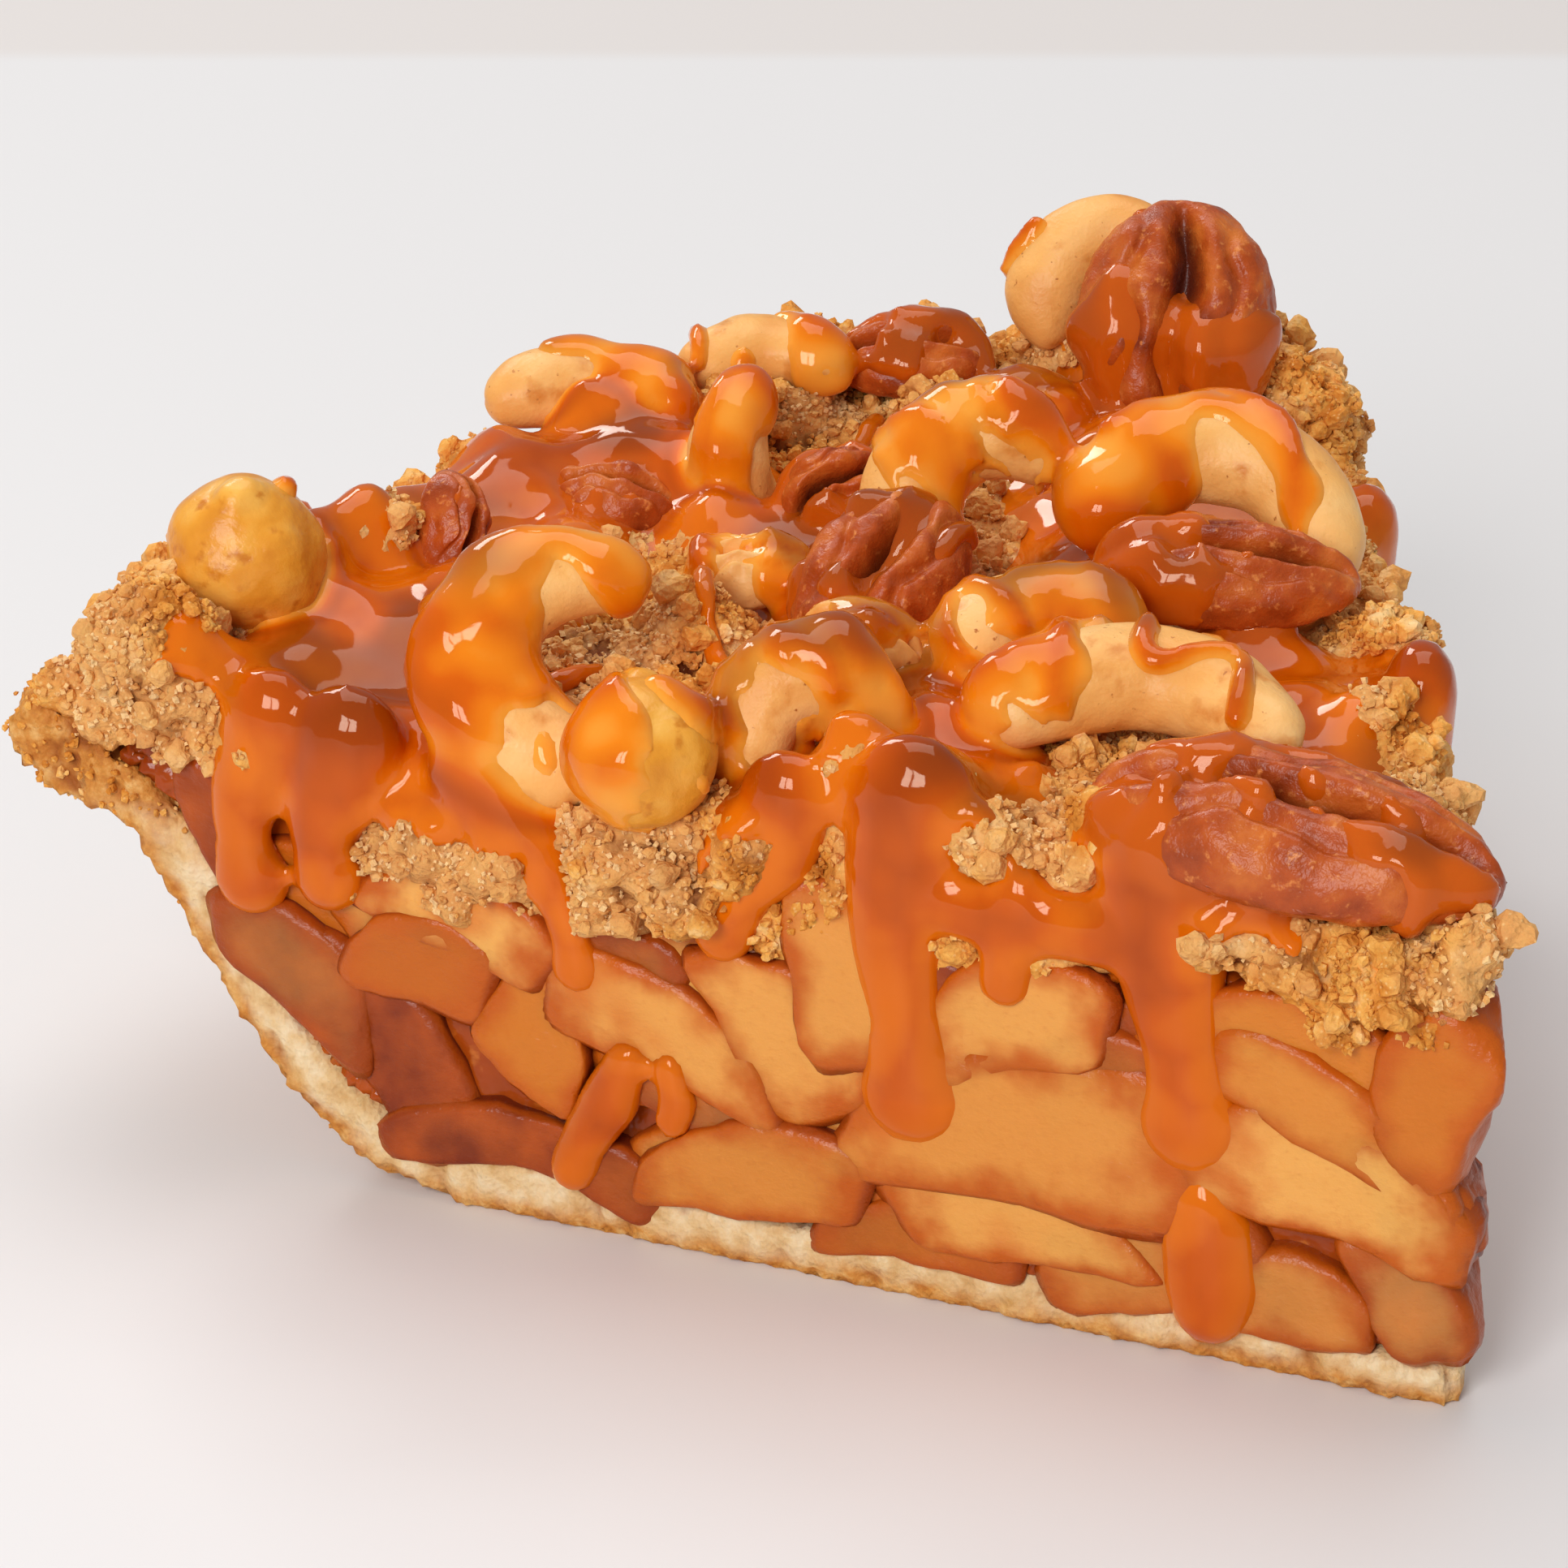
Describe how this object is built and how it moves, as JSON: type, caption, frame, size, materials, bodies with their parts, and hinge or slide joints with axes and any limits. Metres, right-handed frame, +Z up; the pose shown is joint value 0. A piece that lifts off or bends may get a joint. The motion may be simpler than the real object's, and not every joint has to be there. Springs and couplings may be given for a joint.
{
  "type": "slice of apple crumble pie",
  "caption": "Cut wedge of deep apple crumble pie: pastry shell, apple filling shown at the cut faces, crumble topping, whole nuts and thick caramel.",
  "frame": {"origin": "middle of the bounding box in plan, on the surface that the flat base of the crust rests on", "axes": "+Z up; the point of the slice is toward -Y and the rim of the pie toward +Y; one cut face is on the -X side and the other on the +X side"},
  "size_m": [0.1387, 0.1293, 0.0632],
  "materials": {
    "pastry": "dry baked shortcrust, pale inside and golden outside",
    "apple": "cooked apple slices in a clear red-brown gel, wet",
    "crumble": "rough golden butter crumble with sugar grains",
    "caramel": "thick glossy caramel sauce",
    "cashew": "pale roasted nut with a thin caramel film",
    "pecan": "ridged red-brown nut with a thin caramel film",
    "hazelnut": "golden peeled nut with a thin caramel film"
  },
  "bodies": {
    "root": {"crust": "pastry", "apple_filling": "apple", "crumble_topping": "crumble", "caramel_sauce": "caramel", "cashew_front": "cashew", "cashew_mid": "cashew", "cashew_crown": "cashew", "cashew_right": "cashew", "cashew_long": "cashew", "cashew_cover": "cashew", "cashew_upright": "cashew", "cashew_back_left": "cashew", "cashew_back": "cashew", "cashew_peak": "cashew", "nut_glazed": "cashew", "nut_small": "cashew", "nut_pale": "cashew", "pecan_peak": "pecan", "pecan_front": "pecan", "pecan_right": "pecan", "pecan_centre": "pecan", "pecan_back": "pecan", "pecan_scrap": "pecan", "pecan_pool": "pecan", "pecan_peek": "pecan", "hazelnut_left": "hazelnut", "hazelnut_mid": "hazelnut"}
  },
  "joints": []
}
